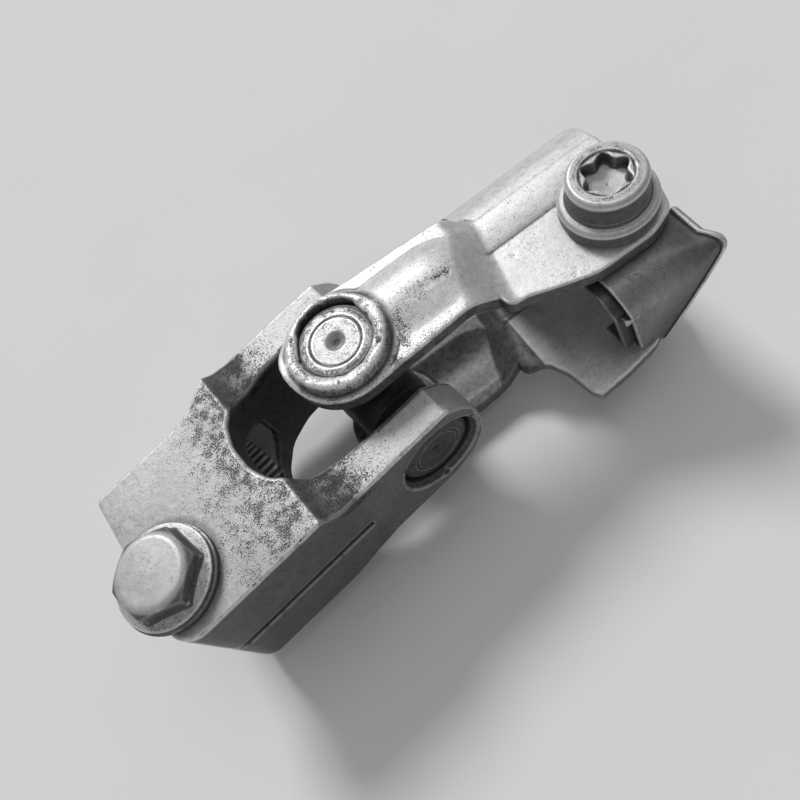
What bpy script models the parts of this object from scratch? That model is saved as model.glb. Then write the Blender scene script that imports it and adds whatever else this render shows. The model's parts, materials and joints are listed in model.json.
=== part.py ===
"""Steering-shaft universal joint: forged clamp yoke, pressed steel yoke, cross,
four needle-roller bearings, two clamp bolts, weld nut and shaft guide clip.

Frame: +X along the joint from the clamp yoke to the pressed yoke, +Y across the
forged ears, +Z across the pressed arms. All lengths below are in millimetres.
"""
import math

import bpy
import bmesh
from mathutils import Matrix, Vector

MM = 0.001

# position of the joint centre above the bottom centre of the whole part
CENTRE = (-2.09, 5.743, 20.482)
# resting fold of the joint, degrees: about the ear axis, then about the arm axis
FOLD_EAR_AXIS = -1.2
FOLD_ARM_AXIS = -9.2

# clamp yoke
BLOCK_TOP = 14.0
BLOCK_BOTTOM = -14.2
BLOCK_END = -51.6
BLOCK_END_FAR = -50.2
BLOCK_NEAR = -19.5
BLOCK_FAR = 14.1
CORNER_RADIUS = 5.0
EAR_OUTER = 19.6
EAR_INNER = 12.7
EAR_HALF_HEIGHT = 11.3
EAR_REACH = 9.9
BEARING_BORE = 7.8
SHAFT_BORE = 8.2
SHAFT_BORE_Y = 3.0
SHAFT_BORE_Z = -1.0
SLIT_WIDTH = 1.7
SLIT_END = -16.5
PINCH_X = -46.4
PINCH_Y = -8.0
BOLT_HOLE = 4.35
BOLT_SHANK = 4.0

# pressed yoke
PLATE = 3.0
ARM_TOP = 18.0
ARM_HALF_WIDTH = 10.6
JOGGLE_START = 24.4
JOGGLE_END = 28.2
FLANGE_TOP = 13.0
BARREL_RADIUS = 13.85
BARREL_Y = 5.0
BARREL_END = 57.4
COLLAR_TOP = 20.3
COLLAR_RADIUS = 8.9
COLLAR_BASE_RADIUS = 10.0
CLAMP_X = 50.0
CLAMP_Y = -6.4

# bearings
CUP_RADIUS = 7.5
CUP_BORE = 6.45
CUP_LENGTH = 6.8
CUP_FLOOR = 1.2
EAR_CUP_END = 18.4
ARM_CUP_END = 19.6
ROLLER_RADIUS = 0.9
ROLLER_CIRCLE = 5.25
ROLLER_COUNT = 16
ROLLER_LENGTH = 3.5
TRUNNION_RADIUS = 4.05
GAP = 0.3


def clear_scene():
    for old in list(bpy.data.objects):
        bpy.data.objects.remove(old, do_unlink=True)


def material(name, colour, roughness, metallic):
    mat = bpy.data.materials.new(name)
    mat.use_nodes = True
    shader = mat.node_tree.nodes["Principled BSDF"]
    shader.inputs["Base Color"].default_value = (*colour, 1.0)
    shader.inputs["Roughness"].default_value = roughness
    shader.inputs["Metallic"].default_value = metallic
    return mat


def finish_mesh(name, bm, mat, parent, angle=35.0):
    bmesh.ops.recalc_face_normals(bm, faces=bm.faces[:])
    mesh = bpy.data.meshes.new(name)
    bm.to_mesh(mesh)
    bm.free()
    mesh.shade_smooth()
    mesh.set_sharp_from_angle(angle=math.radians(angle))
    obj = bpy.data.objects.new(name, mesh)
    bpy.context.scene.collection.objects.link(obj)
    if mat is not None:
        mesh.materials.append(mat)
    obj.parent = parent
    return obj


def axis_matrix(axis):
    """Local z goes to the named axis."""
    if axis == "x":
        return Matrix(((0, 0, 1), (1, 0, 0), (0, 1, 0)))
    if axis == "y":
        return Matrix(((1, 0, 0), (0, 0, 1), (0, 1, 0)))
    return Matrix.Identity(3)


def prism_mesh(outline, low, high, axis):
    """Close an outline into a solid; outline pairs are (x, y) for z, (x, z) for y, (y, z) for x."""
    bm = bmesh.new()
    turn = axis_matrix(axis)
    rings = []
    for level in (low, high):
        rings.append([bm.verts.new(turn @ Vector((u, v, level)) * MM) for u, v in outline])
    bm.faces.new(rings[0])
    bm.faces.new(rings[1])
    count = len(outline)
    for i in range(count):
        j = (i + 1) % count
        bm.faces.new((rings[0][i], rings[0][j], rings[1][j], rings[1][i]))
    return bm


def prism(name, outline, low, high, axis, mat, parent):
    return finish_mesh(name, prism_mesh(outline, low, high, axis), mat, parent)


def turned_mesh(profile, segments, axis, centre=(0.0, 0.0, 0.0), phase=0.0):
    """Spin a closed list of (radius, height) about the axis through centre."""
    bm = bmesh.new()
    turn = axis_matrix(axis)
    shift = Vector(centre)
    rings = []
    for radius, height in profile:
        if radius < 1e-6:
            rings.append([bm.verts.new((turn @ Vector((0, 0, height)) + shift) * MM)])
            continue
        ring = []
        for k in range(segments):
            a = 2 * math.pi * k / segments + phase
            point = turn @ Vector((radius * math.cos(a), radius * math.sin(a), height))
            ring.append(bm.verts.new((point + shift) * MM))
        rings.append(ring)
    count = len(rings)
    for i in range(count):
        a = rings[i]
        b = rings[(i + 1) % count]
        if len(a) == 1 and len(b) == 1:
            continue
        for k in range(segments):
            n = (k + 1) % segments
            if len(a) == 1:
                bm.faces.new((a[0], b[k], b[n]))
            elif len(b) == 1:
                bm.faces.new((a[k], a[n], b[0]))
            else:
                bm.faces.new((a[k], a[n], b[n], b[k]))
    return bm


def turned(name, profile, segments, axis, mat, parent, centre=(0.0, 0.0, 0.0), phase=0.0):
    bm = turned_mesh(profile, segments, axis, centre, phase)
    return finish_mesh(name, bm, mat, parent)


def combine(target, other, operation):
    """Hide the helper solid and let a Boolean use it."""
    other.hide_render = True
    other.display_type = "WIRE"
    step = target.modifiers.new(other.name, "BOOLEAN")
    step.operation = operation
    step.solver = "EXACT"
    step.object = other


def arc(cx, cy, radius, start, end, steps):
    points = []
    for i in range(steps + 1):
        a = math.radians(start + (end - start) * i / steps)
        points.append((cx + radius * math.cos(a), cy + radius * math.sin(a)))
    return points


def mirrored(points):
    """The same outline on the other side of the second axis."""
    return [(u, -v) for u, v in reversed(points)]


def empty(name, parent, location=(0.0, 0.0, 0.0), rotation=(0.0, 0.0, 0.0)):
    obj = bpy.data.objects.new(name, None)
    bpy.context.scene.collection.objects.link(obj)
    obj.parent = parent
    obj.location = Vector(location) * MM
    obj.rotation_euler = [math.radians(r) for r in rotation]
    return obj


# clamp yoke ----------------------------------------------------------------

def throat_outline():
    """Gap between the two ears, seen from above, open towards +X."""
    far = [(EAR_REACH + 3, EAR_INNER), (-4.0, 12.5), (-13.0, 12.1), (-18.6, 10.9), (-22.2, 8.9)]
    root = [(-24.5, 6.3), (-25.4, 3.4), (-25.5, 0.0)]
    half = far + root
    return half + [(u, -v) for u, v in reversed(half[:-1])]


def build_clamp_yoke(root, mat):
    plan = arc(BLOCK_END + CORNER_RADIUS, BLOCK_NEAR + CORNER_RADIUS, CORNER_RADIUS, 180, 270, 6)
    plan += [(EAR_REACH + 2, -EAR_OUTER), (EAR_REACH + 2, EAR_OUTER), (-19.0, EAR_OUTER)]
    plan += [(-21.6, 19.0), (-24.0, 17.6), (-26.4, 16.0), (-28.8, 14.9), (-32.0, BLOCK_FAR)]
    plan += [(BLOCK_END_FAR + 1.2, BLOCK_FAR), (BLOCK_END_FAR, BLOCK_FAR - 1.2)]
    body = prism("clamp_yoke", plan, BLOCK_BOTTOM, BLOCK_TOP, "z", mat, root)

    reach = EAR_REACH
    side = [(BLOCK_END - 3, BLOCK_BOTTOM - 2), (-26.6, BLOCK_BOTTOM - 2), (-26.6, BLOCK_BOTTOM)]
    side += [(-23.8, -13.7), (-20.6, -12.6), (-17.6, -11.8), (-14.5, -EAR_HALF_HEIGHT)]
    side += [(0.5, -EAR_HALF_HEIGHT), (3.6, -10.5), (6.4, -8.7), (8.5, -6.2), (reach - 0.3, -3.2)]
    side += [(reach, 0.0), (reach - 0.2, 3.4), (8.9, 6.2), (7.1, 8.8), (4.6, EAR_HALF_HEIGHT)]
    side += [(-14.5, EAR_HALF_HEIGHT), (-17.0, 12.0), (-19.6, 13.0), (-22.2, 13.8)]
    side += [(-24.0, BLOCK_TOP), (-24.0, BLOCK_TOP + 2), (BLOCK_END - 3, BLOCK_TOP + 2)]
    ears = prism("ear_profile", side, -EAR_OUTER - 4, EAR_OUTER + 4, "y", None, root)
    combine(body, ears, "INTERSECT")

    throat = prism("throat_cut", throat_outline(), BLOCK_BOTTOM - 3, BLOCK_TOP + 3, "z", None, root)
    combine(body, throat, "DIFFERENCE")

    for name, sign in (("scoop_near", -1), ("scoop_far", 1)):
        ends = (6.0, 16.6) if sign > 0 else (-16.6, -6.0)
        scoop = prism(name, arc(-17.4, 17.2, 5.9, 0, 345, 23), ends[0], ends[1], "y", None, root)
        combine(body, scoop, "DIFFERENCE")

    bore = turned("shaft_bore", [(0, -32), (SHAFT_BORE, -32), (SHAFT_BORE, 8), (0, 8)], 40, "x",
                  None, root, centre=(-30, SHAFT_BORE_Y, SHAFT_BORE_Z))
    combine(body, bore, "DIFFERENCE")

    slit = [(BLOCK_END - 3, -24), (SLIT_END, -24), (SLIT_END - 3.0, -14.0), (-23.0, -3.0)]
    slit += [(BLOCK_END - 3, -3.0)]
    low = SHAFT_BORE_Z - SLIT_WIDTH / 2
    saw = prism("slit_cut", slit, low, low + SLIT_WIDTH, "z", None, root)
    combine(body, saw, "DIFFERENCE")

    eye = turned("bearing_bore", [(0, -26), (BEARING_BORE, -26), (BEARING_BORE, 26), (0, 26)], 40,
                 "y", None, root)
    combine(body, eye, "DIFFERENCE")

    hole = turned("pinch_hole", [(0, -20), (BOLT_HOLE, -20), (BOLT_HOLE, 20), (0, 20)], 24, "z",
                  None, root, centre=(PINCH_X, PINCH_Y, 0))
    combine(body, hole, "DIFFERENCE")
    return body


def build_pinch_bolt(root, steel, washer_mat):
    z0 = BLOCK_TOP + GAP
    washer = [(BOLT_HOLE, z0), (9.1, z0), (9.1, z0 + 0.7), (BOLT_HOLE, z0 + 0.7)]
    turned("pinch_bolt_washer", washer, 40, "z", washer_mat, root, centre=(PINCH_X, PINCH_Y, 0))

    base = z0 + 1.0
    flange = [(0, -13.4), (BOLT_SHANK - 0.6, -13.4), (BOLT_SHANK, -12.8), (BOLT_SHANK, base)]
    flange += [(8.8, base), (8.8, base + 0.7), (7.6, base + 1.3), (0, base + 1.3)]
    bolt = turned("pinch_bolt", flange, 40, "z", steel, root, centre=(PINCH_X, PINCH_Y, 0))

    across = 13.0 / math.sqrt(3.0)
    top = base + 5.0
    head = [(0, base + 0.9), (across, base + 0.9), (across, top - 0.8), (across - 1.1, top), (0, top)]
    hexagon = turned("pinch_bolt_hex", head, 6, "z", None, root, centre=(PINCH_X, PINCH_Y, 0),
                     phase=math.radians(-20))
    combine(bolt, hexagon, "UNION")


# bearings ------------------------------------------------------------------

def build_bearing(tag, end, axis, sign, owner, mats):
    """One drawn cup with its rollers, thrust pad and seal; heights are measured from the centre."""
    def at(points):
        return [(r, sign * h) for r, h in points]

    mouth = end - CUP_LENGTH
    floor = end - CUP_FLOOR
    cup = [(CUP_BORE, mouth), (CUP_RADIUS, mouth), (CUP_RADIUS, end - 1.0), (7.2, end - 0.3)]
    cup += [(6.5, end), (4.9, end), (4.7, end - 0.3), (4.4, end), (1.1, end), (0, end - 0.4)]
    cup += [(0, floor), (CUP_BORE, floor)]
    turned("bearing_cup_" + tag, at(cup), 36, axis, mats["cup"], owner)

    pad = [(0, floor - 1.1), (3.6, floor - 1.1), (3.6, floor - GAP), (0, floor - GAP)]
    turned("thrust_pad_" + tag, at(pad), 20, axis, mats["pad"], owner)

    seal = [(4.4, mouth - 1.6), (7.0, mouth - 1.6), (7.4, mouth - 0.9), (7.4, mouth - GAP)]
    seal += [(4.4, mouth - GAP)]
    turned("bearing_seal_" + tag, at(seal), 28, axis, mats["seal"], owner)

    bm = bmesh.new()
    turn = axis_matrix(axis)
    low = floor - 1.2 - ROLLER_LENGTH
    for k in range(ROLLER_COUNT):
        a = 2 * math.pi * k / ROLLER_COUNT
        centre = turn @ Vector((ROLLER_CIRCLE * math.cos(a), ROLLER_CIRCLE * math.sin(a), 0))
        rod = [(0, low), (ROLLER_RADIUS, low), (ROLLER_RADIUS, low + ROLLER_LENGTH)]
        rod += [(0, low + ROLLER_LENGTH)]
        one = turned_mesh(at(rod), 8, axis, centre, phase=a)
        piece = bpy.data.meshes.new("roller")
        one.to_mesh(piece)
        one.free()
        bm.from_mesh(piece)
        bpy.data.meshes.remove(piece)
    rollers = finish_mesh("needle_rollers_" + tag, bm, mats["roller"], owner)
    mid = low + ROLLER_LENGTH / 2
    band = [(ROLLER_CIRCLE - 0.3, mid - 0.3), (ROLLER_CIRCLE + 0.3, mid - 0.3)]
    band += [(ROLLER_CIRCLE + 0.3, mid + 0.3), (ROLLER_CIRCLE - 0.3, mid + 0.3)]
    cage = turned("cage_" + tag, at(band), 32, axis, None, owner)
    combine(rollers, cage, "UNION")


def build_cross(owner, mat):
    ear_tip = EAR_CUP_END - CUP_FLOOR - 1.4
    arm_tip = ARM_CUP_END - CUP_FLOOR - 1.4
    ear_shoulder = EAR_CUP_END - CUP_LENGTH - 1.9
    arm_shoulder = ARM_CUP_END - CUP_LENGTH - 1.9

    def spindle(tip, shoulder):
        half = [(0, tip), (TRUNNION_RADIUS - 0.5, tip), (TRUNNION_RADIUS, tip - 0.5)]
        half += [(TRUNNION_RADIUS, shoulder), (6.0, shoulder), (6.8, shoulder - 1.0)]
        return half + [(r, -h) for r, h in reversed(half)]

    body = turned("cross", spindle(ear_tip, ear_shoulder), 28, "y", mat, owner)
    other = turned("cross_upright", spindle(arm_tip, arm_shoulder), 28, "z", None, owner)
    combine(body, other, "UNION")
    core = prism("cross_core", arc(0, 0, 8.4, 22.5, 337.5, 7), -6.2, 6.2, "x", None, owner)
    combine(body, core, "UNION")


# pressed yoke --------------------------------------------------------------

def barrel_section():
    """C section of the rolled wall, open towards -Y."""
    start = math.degrees(math.acos(-4.8 / BARREL_RADIUS))
    outer = arc(BARREL_Y, 0, BARREL_RADIUS, start, -start, 26)
    inner = arc(BARREL_Y, 0, BARREL_RADIUS - PLATE, -start, start, 22)
    return outer + inner


def arm_section():
    """Side view of one arm, its joggle and its clamp flange."""
    low = FLANGE_TOP
    top = [(-14.0, ARM_TOP), (JOGGLE_START, ARM_TOP), (JOGGLE_START + 1.3, ARM_TOP - 1.3)]
    top += [(JOGGLE_END - 1.0, low + 0.9), (JOGGLE_END + 0.6, low), (64.0, low)]
    under = [(64.0, low - PLATE), (JOGGLE_END - 0.4, low - PLATE)]
    under += [(JOGGLE_END - 3.2, low - PLATE + 1.3), (JOGGLE_START - 1.0, ARM_TOP - PLATE)]
    under += [(-14.0, ARM_TOP - PLATE)]
    return top + under


def upper_plan():
    plan = arc(0, 0, ARM_HALF_WIDTH, 90, 270, 18)
    plan += [(26.5, -ARM_HALF_WIDTH), (29.5, -10.7), (35.0, -13.0), (41.0, -15.2), (45.0, -15.6)]
    plan += [(52.2, -15.3), (55.6, -14.2), (57.6, -12.6), (58.6, -10.2), (58.8, -6.0)]
    plan += [(58.2, -1.0), (BARREL_END, 0.6), (31.0, 0.6), (29.6, 6.0), (27.6, ARM_HALF_WIDTH)]
    return plan


def lower_plan():
    plan = arc(0, 0, ARM_HALF_WIDTH, 90, 270, 18)
    plan += [(26.5, -ARM_HALF_WIDTH), (29.4, -12.2), (30.9, -15.2), (32.0, -18.6), (32.6, -23.6)]
    plan += [(33.4, -24.2), (40.0, -23.6), (46.0, -22.6), (52.0, -20.6), (56.2, -17.0)]
    plan += [(58.4, -11.6), (58.8, -6.0), (58.2, -1.0), (BARREL_END, 0.6), (31.0, 0.6)]
    plan += [(29.6, 6.0), (27.6, ARM_HALF_WIDTH)]
    return plan


def build_pressed_yoke(owner, mat):
    body = prism("pressed_yoke", barrel_section(), 27.4, BARREL_END, "x", mat, owner)
    for tag, sign, plan in (("upper", 1, upper_plan()), ("lower", -1, lower_plan())):
        section = arm_section() if sign > 0 else mirrored(arm_section())
        arm = prism(tag + "_arm", section, -30, 16, "y", None, owner)
        levels = (6, 24) if sign > 0 else (-24, -6)
        blank = prism(tag + "_blank", plan, levels[0], levels[1], "z", None, owner)
        combine(arm, blank, "INTERSECT")
        combine(body, arm, "UNION")
        ring = [(BEARING_BORE - 0.6, ARM_TOP - 1.2), (COLLAR_BASE_RADIUS, ARM_TOP - 1.2)]
        ring += [(COLLAR_BASE_RADIUS, ARM_TOP + 0.2), (COLLAR_RADIUS + 0.3, COLLAR_TOP - 0.6)]
        ring += [(COLLAR_RADIUS, COLLAR_TOP), (BEARING_BORE - 0.6, COLLAR_TOP)]
        collar = turned(tag + "_collar", [(r, sign * h) for r, h in ring], 36, "z", None, owner)
        combine(body, collar, "UNION")
    rise = turned("arm_rise", bulge_profile(), 24, "z", None, owner)
    rise.location = Vector((17.2, 1.2, ARM_TOP - 0.6)) * MM
    for vertex in rise.data.vertices:
        vertex.co.x *= 8.2
        vertex.co.y *= 7.2
    combine(body, rise, "UNION")
    eye = turned("arm_bore", [(0, -26), (BEARING_BORE, -26), (BEARING_BORE, 26), (0, 26)], 36, "z",
                 None, owner)
    combine(body, eye, "DIFFERENCE")
    hole = turned("clamp_hole", [(0, -20), (BOLT_HOLE, -20), (BOLT_HOLE, 20), (0, 20)], 24, "z",
                  None, owner, centre=(CLAMP_X, CLAMP_Y, 0))
    combine(body, hole, "DIFFERENCE")
    return body


def bulge_profile():
    """Low dome of unit radius, stretched along the arm afterwards."""
    dome = [(0, -1.2), (1.0, -1.2), (1.0, 0.0)]
    for k in range(1, 6):
        a = math.radians(90 * k / 6)
        dome.append((math.cos(a), 2.0 * math.sin(a)))
    return dome + [(0, 2.0)]


def build_clamp_bolt(owner, steel, nut_mat):
    z0 = FLANGE_TOP + GAP
    shape = [(0, -19.0), (BOLT_SHANK - 0.6, -19.0), (BOLT_SHANK, -18.4), (BOLT_SHANK, z0)]
    shape += [(7.3, z0), (8.3, z0 + 0.6), (8.3, z0 + 2.9), (7.9, z0 + 3.3), (6.9, z0 + 3.7)]
    shape += [(6.6, z0 + 4.2)]
    shape += [(6.4, z0 + 8.2), (6.0, z0 + 8.7), (0, z0 + 8.7)]
    bolt = turned("clamp_bolt", shape, 40, "z", steel, owner, centre=(CLAMP_X, CLAMP_Y, 0))
    star = []
    for k in range(48):
        a = 2 * math.pi * k / 48
        radius = 3.55 + 0.5 * math.cos(6 * a)
        star.append((CLAMP_X + radius * math.cos(a), CLAMP_Y + radius * math.sin(a)))
    recess = prism("clamp_bolt_star", star, z0 + 5.2, z0 + 12, "z", None, owner)
    combine(bolt, recess, "DIFFERENCE")

    face = -FLANGE_TOP - GAP
    side = 13.0 / math.sqrt(3.0)
    nut = [(0, face), (side, face), (side, face - 5.4), (side - 0.8, face - 6.2), (0, face - 6.2)]
    nut_body = turned("clamp_nut", nut, 6, "z", nut_mat, owner, centre=(CLAMP_X, CLAMP_Y, 0))
    bore = turned("clamp_nut_bore", [(0, -24), (BOLT_HOLE, -24), (BOLT_HOLE, -8), (0, -8)], 24, "z",
                  None, owner, centre=(CLAMP_X, CLAMP_Y, 0))
    combine(nut_body, bore, "DIFFERENCE")


# shaft guide clip ----------------------------------------------------------

def build_clip(owner, mat):
    """Thin bent sheet between the flanges that covers the open side of the socket."""
    top = FLANGE_TOP - PLATE - GAP - 0.8
    path = [(-11.4, top), (-14.4, top)]
    path += arc(-16.0, top - 5.6, 5.6, 90, 180, 7)[1:]
    path += [(-21.7, 1.0), (-21.8, -3.2)]
    path += [(-21.6, -6.2), (-20.6, -8.2), (-18.6, -top), (-13.4, -top)]
    bm = bmesh.new()
    rows = []
    for y, z in path:
        share = (top - z) / (2 * top)
        right = 61.0 - 9.6 * max(0.0, share) ** 1.2
        left = 42.6 + 2.2 * share
        row = []
        for k in range(5):
            x = left + (right - left) * k / 4
            row.append(bm.verts.new(Vector((x, y, z)) * MM))
        rows.append(row)
    for a, b in zip(rows[:-1], rows[1:]):
        for k in range(4):
            bm.faces.new((a[k], a[k + 1], b[k + 1], b[k]))
    clip = finish_mesh("shaft_clip", bm, mat, owner)
    sheet = clip.modifiers.new("sheet", "SOLIDIFY")
    sheet.thickness = 0.8 * MM
    sheet.offset = 0.0
    sheet.use_even_offset = True
    return clip


def main():
    clear_scene()
    forged = material("forged_steel", (0.50, 0.50, 0.51), 0.42, 0.85)
    pressed = material("pressed_steel", (0.56, 0.56, 0.58), 0.38, 0.88)
    bolt_steel = material("bolt_steel", (0.60, 0.60, 0.61), 0.34, 0.90)
    washer_steel = material("washer_steel", (0.55, 0.55, 0.56), 0.40, 0.90)
    clip_steel = material("spring_steel", (0.45, 0.45, 0.46), 0.40, 0.88)
    nut_steel = material("nut_steel", (0.50, 0.50, 0.51), 0.45, 0.85)
    cross_steel = material("cross_steel", (0.30, 0.30, 0.31), 0.45, 0.80)
    mats = {
        "cup": material("cup_steel", (0.42, 0.42, 0.43), 0.36, 0.88),
        "roller": material("roller_steel", (0.62, 0.62, 0.63), 0.20, 0.95),
        "pad": material("pad_nylon", (0.72, 0.70, 0.64), 0.50, 0.0),
        "seal": material("seal_rubber", (0.03, 0.03, 0.03), 0.75, 0.0),
    }

    root = empty("joint_centre", None, location=CENTRE)
    cross_frame = empty("ear_axis", root, rotation=(0.0, FOLD_EAR_AXIS, 0.0))
    yoke_frame = empty("arm_axis", cross_frame, rotation=(0.0, 0.0, FOLD_ARM_AXIS))

    build_clamp_yoke(root, forged)
    build_pinch_bolt(root, bolt_steel, washer_steel)
    build_bearing("ear_near", EAR_CUP_END, "y", -1, root, mats)
    build_bearing("ear_far", EAR_CUP_END, "y", 1, root, mats)

    build_cross(cross_frame, cross_steel)

    build_pressed_yoke(yoke_frame, pressed)
    build_bearing("arm_top", ARM_CUP_END, "z", 1, yoke_frame, mats)
    build_bearing("arm_bottom", ARM_CUP_END, "z", -1, yoke_frame, mats)
    build_clamp_bolt(yoke_frame, bolt_steel, nut_steel)
    build_clip(yoke_frame, clip_steel)


main()
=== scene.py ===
"""Looks for the steering-shaft universal joint: every piece that shows is a fine rounded mesh.

Each of them is written as a solid field, a function that is negative inside the metal, in
millimetres from the joint's centre. The fields are meshed, relaxed and given three vertex
attributes for the materials: "edge", the surface's curvature, "grime", the speckled dirt zones,
and "shade", the zones under an even painted shade. A grime function returns the last two.
needles and thrust pads hidden in the bearings keep the frame's shapes.
"""
import json
import math

import bpy
import numpy as np
from mathutils import Euler, Matrix, Vector


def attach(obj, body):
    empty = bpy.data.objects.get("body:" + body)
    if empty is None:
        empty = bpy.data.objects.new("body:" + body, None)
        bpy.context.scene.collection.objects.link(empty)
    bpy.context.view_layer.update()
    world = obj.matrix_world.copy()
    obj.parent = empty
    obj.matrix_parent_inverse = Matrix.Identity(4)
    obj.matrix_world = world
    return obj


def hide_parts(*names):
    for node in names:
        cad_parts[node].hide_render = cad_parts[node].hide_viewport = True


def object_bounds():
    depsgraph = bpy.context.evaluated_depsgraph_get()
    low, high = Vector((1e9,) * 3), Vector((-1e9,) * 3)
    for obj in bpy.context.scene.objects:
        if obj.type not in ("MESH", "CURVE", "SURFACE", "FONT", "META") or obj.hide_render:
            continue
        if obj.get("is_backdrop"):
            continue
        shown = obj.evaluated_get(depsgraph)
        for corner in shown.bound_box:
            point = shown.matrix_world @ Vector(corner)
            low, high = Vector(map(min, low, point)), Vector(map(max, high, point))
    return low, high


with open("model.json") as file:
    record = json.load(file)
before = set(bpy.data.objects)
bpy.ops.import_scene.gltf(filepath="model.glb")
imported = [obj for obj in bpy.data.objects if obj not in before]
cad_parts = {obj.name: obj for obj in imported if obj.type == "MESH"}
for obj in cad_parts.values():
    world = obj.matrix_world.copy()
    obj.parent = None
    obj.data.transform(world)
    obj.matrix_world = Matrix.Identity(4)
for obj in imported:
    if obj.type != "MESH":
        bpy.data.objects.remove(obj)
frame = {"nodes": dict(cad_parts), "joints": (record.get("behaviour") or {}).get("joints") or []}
CAD_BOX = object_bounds()

MM = 0.001
CENTRE = Vector(frame["joints"][0]["pos_m"])
FOLD_EAR_AXIS = math.radians(-1.2)
FOLD_ARM_AXIS = math.radians(-9.2)
CLAMP_FRAME = Matrix.Translation(CENTRE) @ Matrix.Scale(MM, 4)
CROSS_FRAME = CLAMP_FRAME @ Matrix.Rotation(FOLD_EAR_AXIS, 4, "Y")
PRESSED_FRAME = CROSS_FRAME @ Matrix.Rotation(FOLD_ARM_AXIS, 4, "Z")

CLAMP_BODY = "clamp_yoke_body"
CROSS_BODY = "cross_body"
PRESSED_BODY = "pressed_yoke_body"


# solid fields --------------------------------------------------------------

def cut_to(a, b, r):
    """Both solids at once, with the edge between them rounded to radius r."""
    return np.minimum(-r, np.maximum(a, b)) + np.hypot(np.maximum(r + a, 0), np.maximum(r + b, 0))


def join(a, b, r):
    """Either solid, with the inner corner between them filled to radius r."""
    return -cut_to(-a, -b, r)


def carve(a, b, r):
    """The first solid without the second."""
    return cut_to(a, -b, r)


def smooth(low, high, v):
    """Eased step from 0 at low to 1 at high."""
    t = np.clip((v - low) / (high - low), 0.0, 1.0)
    return t * t * (3 - 2 * t)


ARC_STEP = 0.22


def rounded(points, radius):
    """Closed outline with each corner filleted; a third number is that corner's own radius."""
    out = []
    for i, p in enumerate(points):
        r = p[2] if len(p) > 2 else radius
        a, b, c = (np.array(points[k % len(points)][:2], float) for k in (i - 1, i, i + 1))
        u, v = a - b, c - b
        lu, lv = np.linalg.norm(u), np.linalg.norm(v)
        u, v = u / lu, v / lv
        half = math.acos(max(-1.0, min(1.0, float(u @ v)))) / 2
        reach = min(r / math.tan(half), 0.48 * lu, 0.48 * lv) if half < 1.56 else 0.0
        if reach < 0.02:
            out.append(tuple(b))
            continue
        r = reach * math.tan(half)
        mid = (u + v) / np.linalg.norm(u + v)
        centre = b + mid * r / math.sin(half)
        s, e = b + u * reach - centre, b + v * reach - centre
        start = math.atan2(s[1], s[0])
        turn = (math.atan2(e[1], e[0]) - start + math.pi) % (2 * math.pi) - math.pi
        steps = max(2, math.ceil(abs(turn) / ARC_STEP))
        for k in range(steps + 1):
            angle = start + turn * k / steps
            out.append((centre[0] + r * math.cos(angle), centre[1] + r * math.sin(angle)))
    return out


def outline(u, v, points):
    """Signed distance to a closed outline, negative inside."""
    near = np.float32(1e9)
    sign = np.float32(1.0)
    for (ax, ay), (bx, by) in zip(points, points[1:] + points[:1]):
        ex, ey = bx - ax, by - ay
        wu, wv = u - ax, v - ay
        t = np.clip((wu * ex + wv * ey) / (ex * ex + ey * ey + 1e-12), 0.0, 1.0)
        near = np.minimum(near, (wu - ex * t) ** 2 + (wv - ey * t) ** 2)
        up, down, left = v >= ay, v < by, ex * wv > ey * wu
        sign = np.where((up & down & left) | (~up & ~down & ~left), -sign, sign)
    return sign * np.sqrt(near)


def box_field(x, y, z, low, high, r):
    """Rounded box between two corners."""
    d = [np.abs(v - (a + b) / 2) - ((b - a) / 2 - r) for v, a, b in zip((x, y, z), low, high)]
    outside = np.sqrt(sum(np.maximum(v, 0) ** 2 for v in d))
    return outside + np.minimum(np.maximum(np.maximum(d[0], d[1]), d[2]), 0) - r


def uneven(x, y, z, size, amount):
    """Slow hand-hammered unevenness."""
    a = np.sin(x / size + 1.3 * np.sin(y / (1.7 * size))) * np.cos(y / (0.8 * size) + 0.6)
    return amount * (a + np.sin(z / (0.9 * size) + x / (2.3 * size) + 1.1 * np.cos(y / size)))


# meshing -------------------------------------------------------------------

def net(field, low, high, cell):
    """Quads around the field's zero surface, one vertex per crossed grid cell."""
    axes = [np.arange(a, b + cell, cell, dtype=np.float32) for a, b in zip(low, high)]
    x, y, z = np.meshgrid(*axes, indexing="ij", sparse=True)
    inside = np.broadcast_to(field(x, y, z) < 0, [len(a) for a in axes])
    count = np.zeros([len(a) - 1 for a in axes], np.int8)
    for i in (0, 1):
        for j in (0, 1):
            for k in (0, 1):
                s = [slice(d, n - 1 + d) for d, n in zip((i, j, k), inside.shape)]
                count += inside[s[0], s[1], s[2]]
    mixed = (count > 0) & (count < 8)
    index = np.full(mixed.shape, -1, np.int64)
    index[mixed] = np.arange(mixed.sum())
    cells = np.argwhere(mixed)
    points = np.stack([axes[k][cells[:, k]] + cell / 2 for k in range(3)], 1).astype(float)
    quads = []
    for a in range(3):
        b, c = (a + 1) % 3, (a + 2) % 3
        first, second = [slice(None)] * 3, [slice(None)] * 3
        first[a], second[a] = slice(0, -1), slice(1, None)
        for k in (b, c):
            first[k] = second[k] = slice(1, -1)
        near, far = inside[tuple(first)], inside[tuple(second)]
        for leaving in (True, False):
            at = np.argwhere((near != far) & (near == leaving))
            at[:, b] += 1
            at[:, c] += 1
            ring = []
            for db, dc in ((-1, -1), (0, -1), (0, 0), (-1, 0)):
                cell_at = at.copy()
                cell_at[:, b] += db
                cell_at[:, c] += dc
                ring.append(index[cell_at[:, 0], cell_at[:, 1], cell_at[:, 2]])
            quads.append(np.stack(ring if leaving else ring[::-1], 1))
    return points, np.concatenate(quads)


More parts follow.
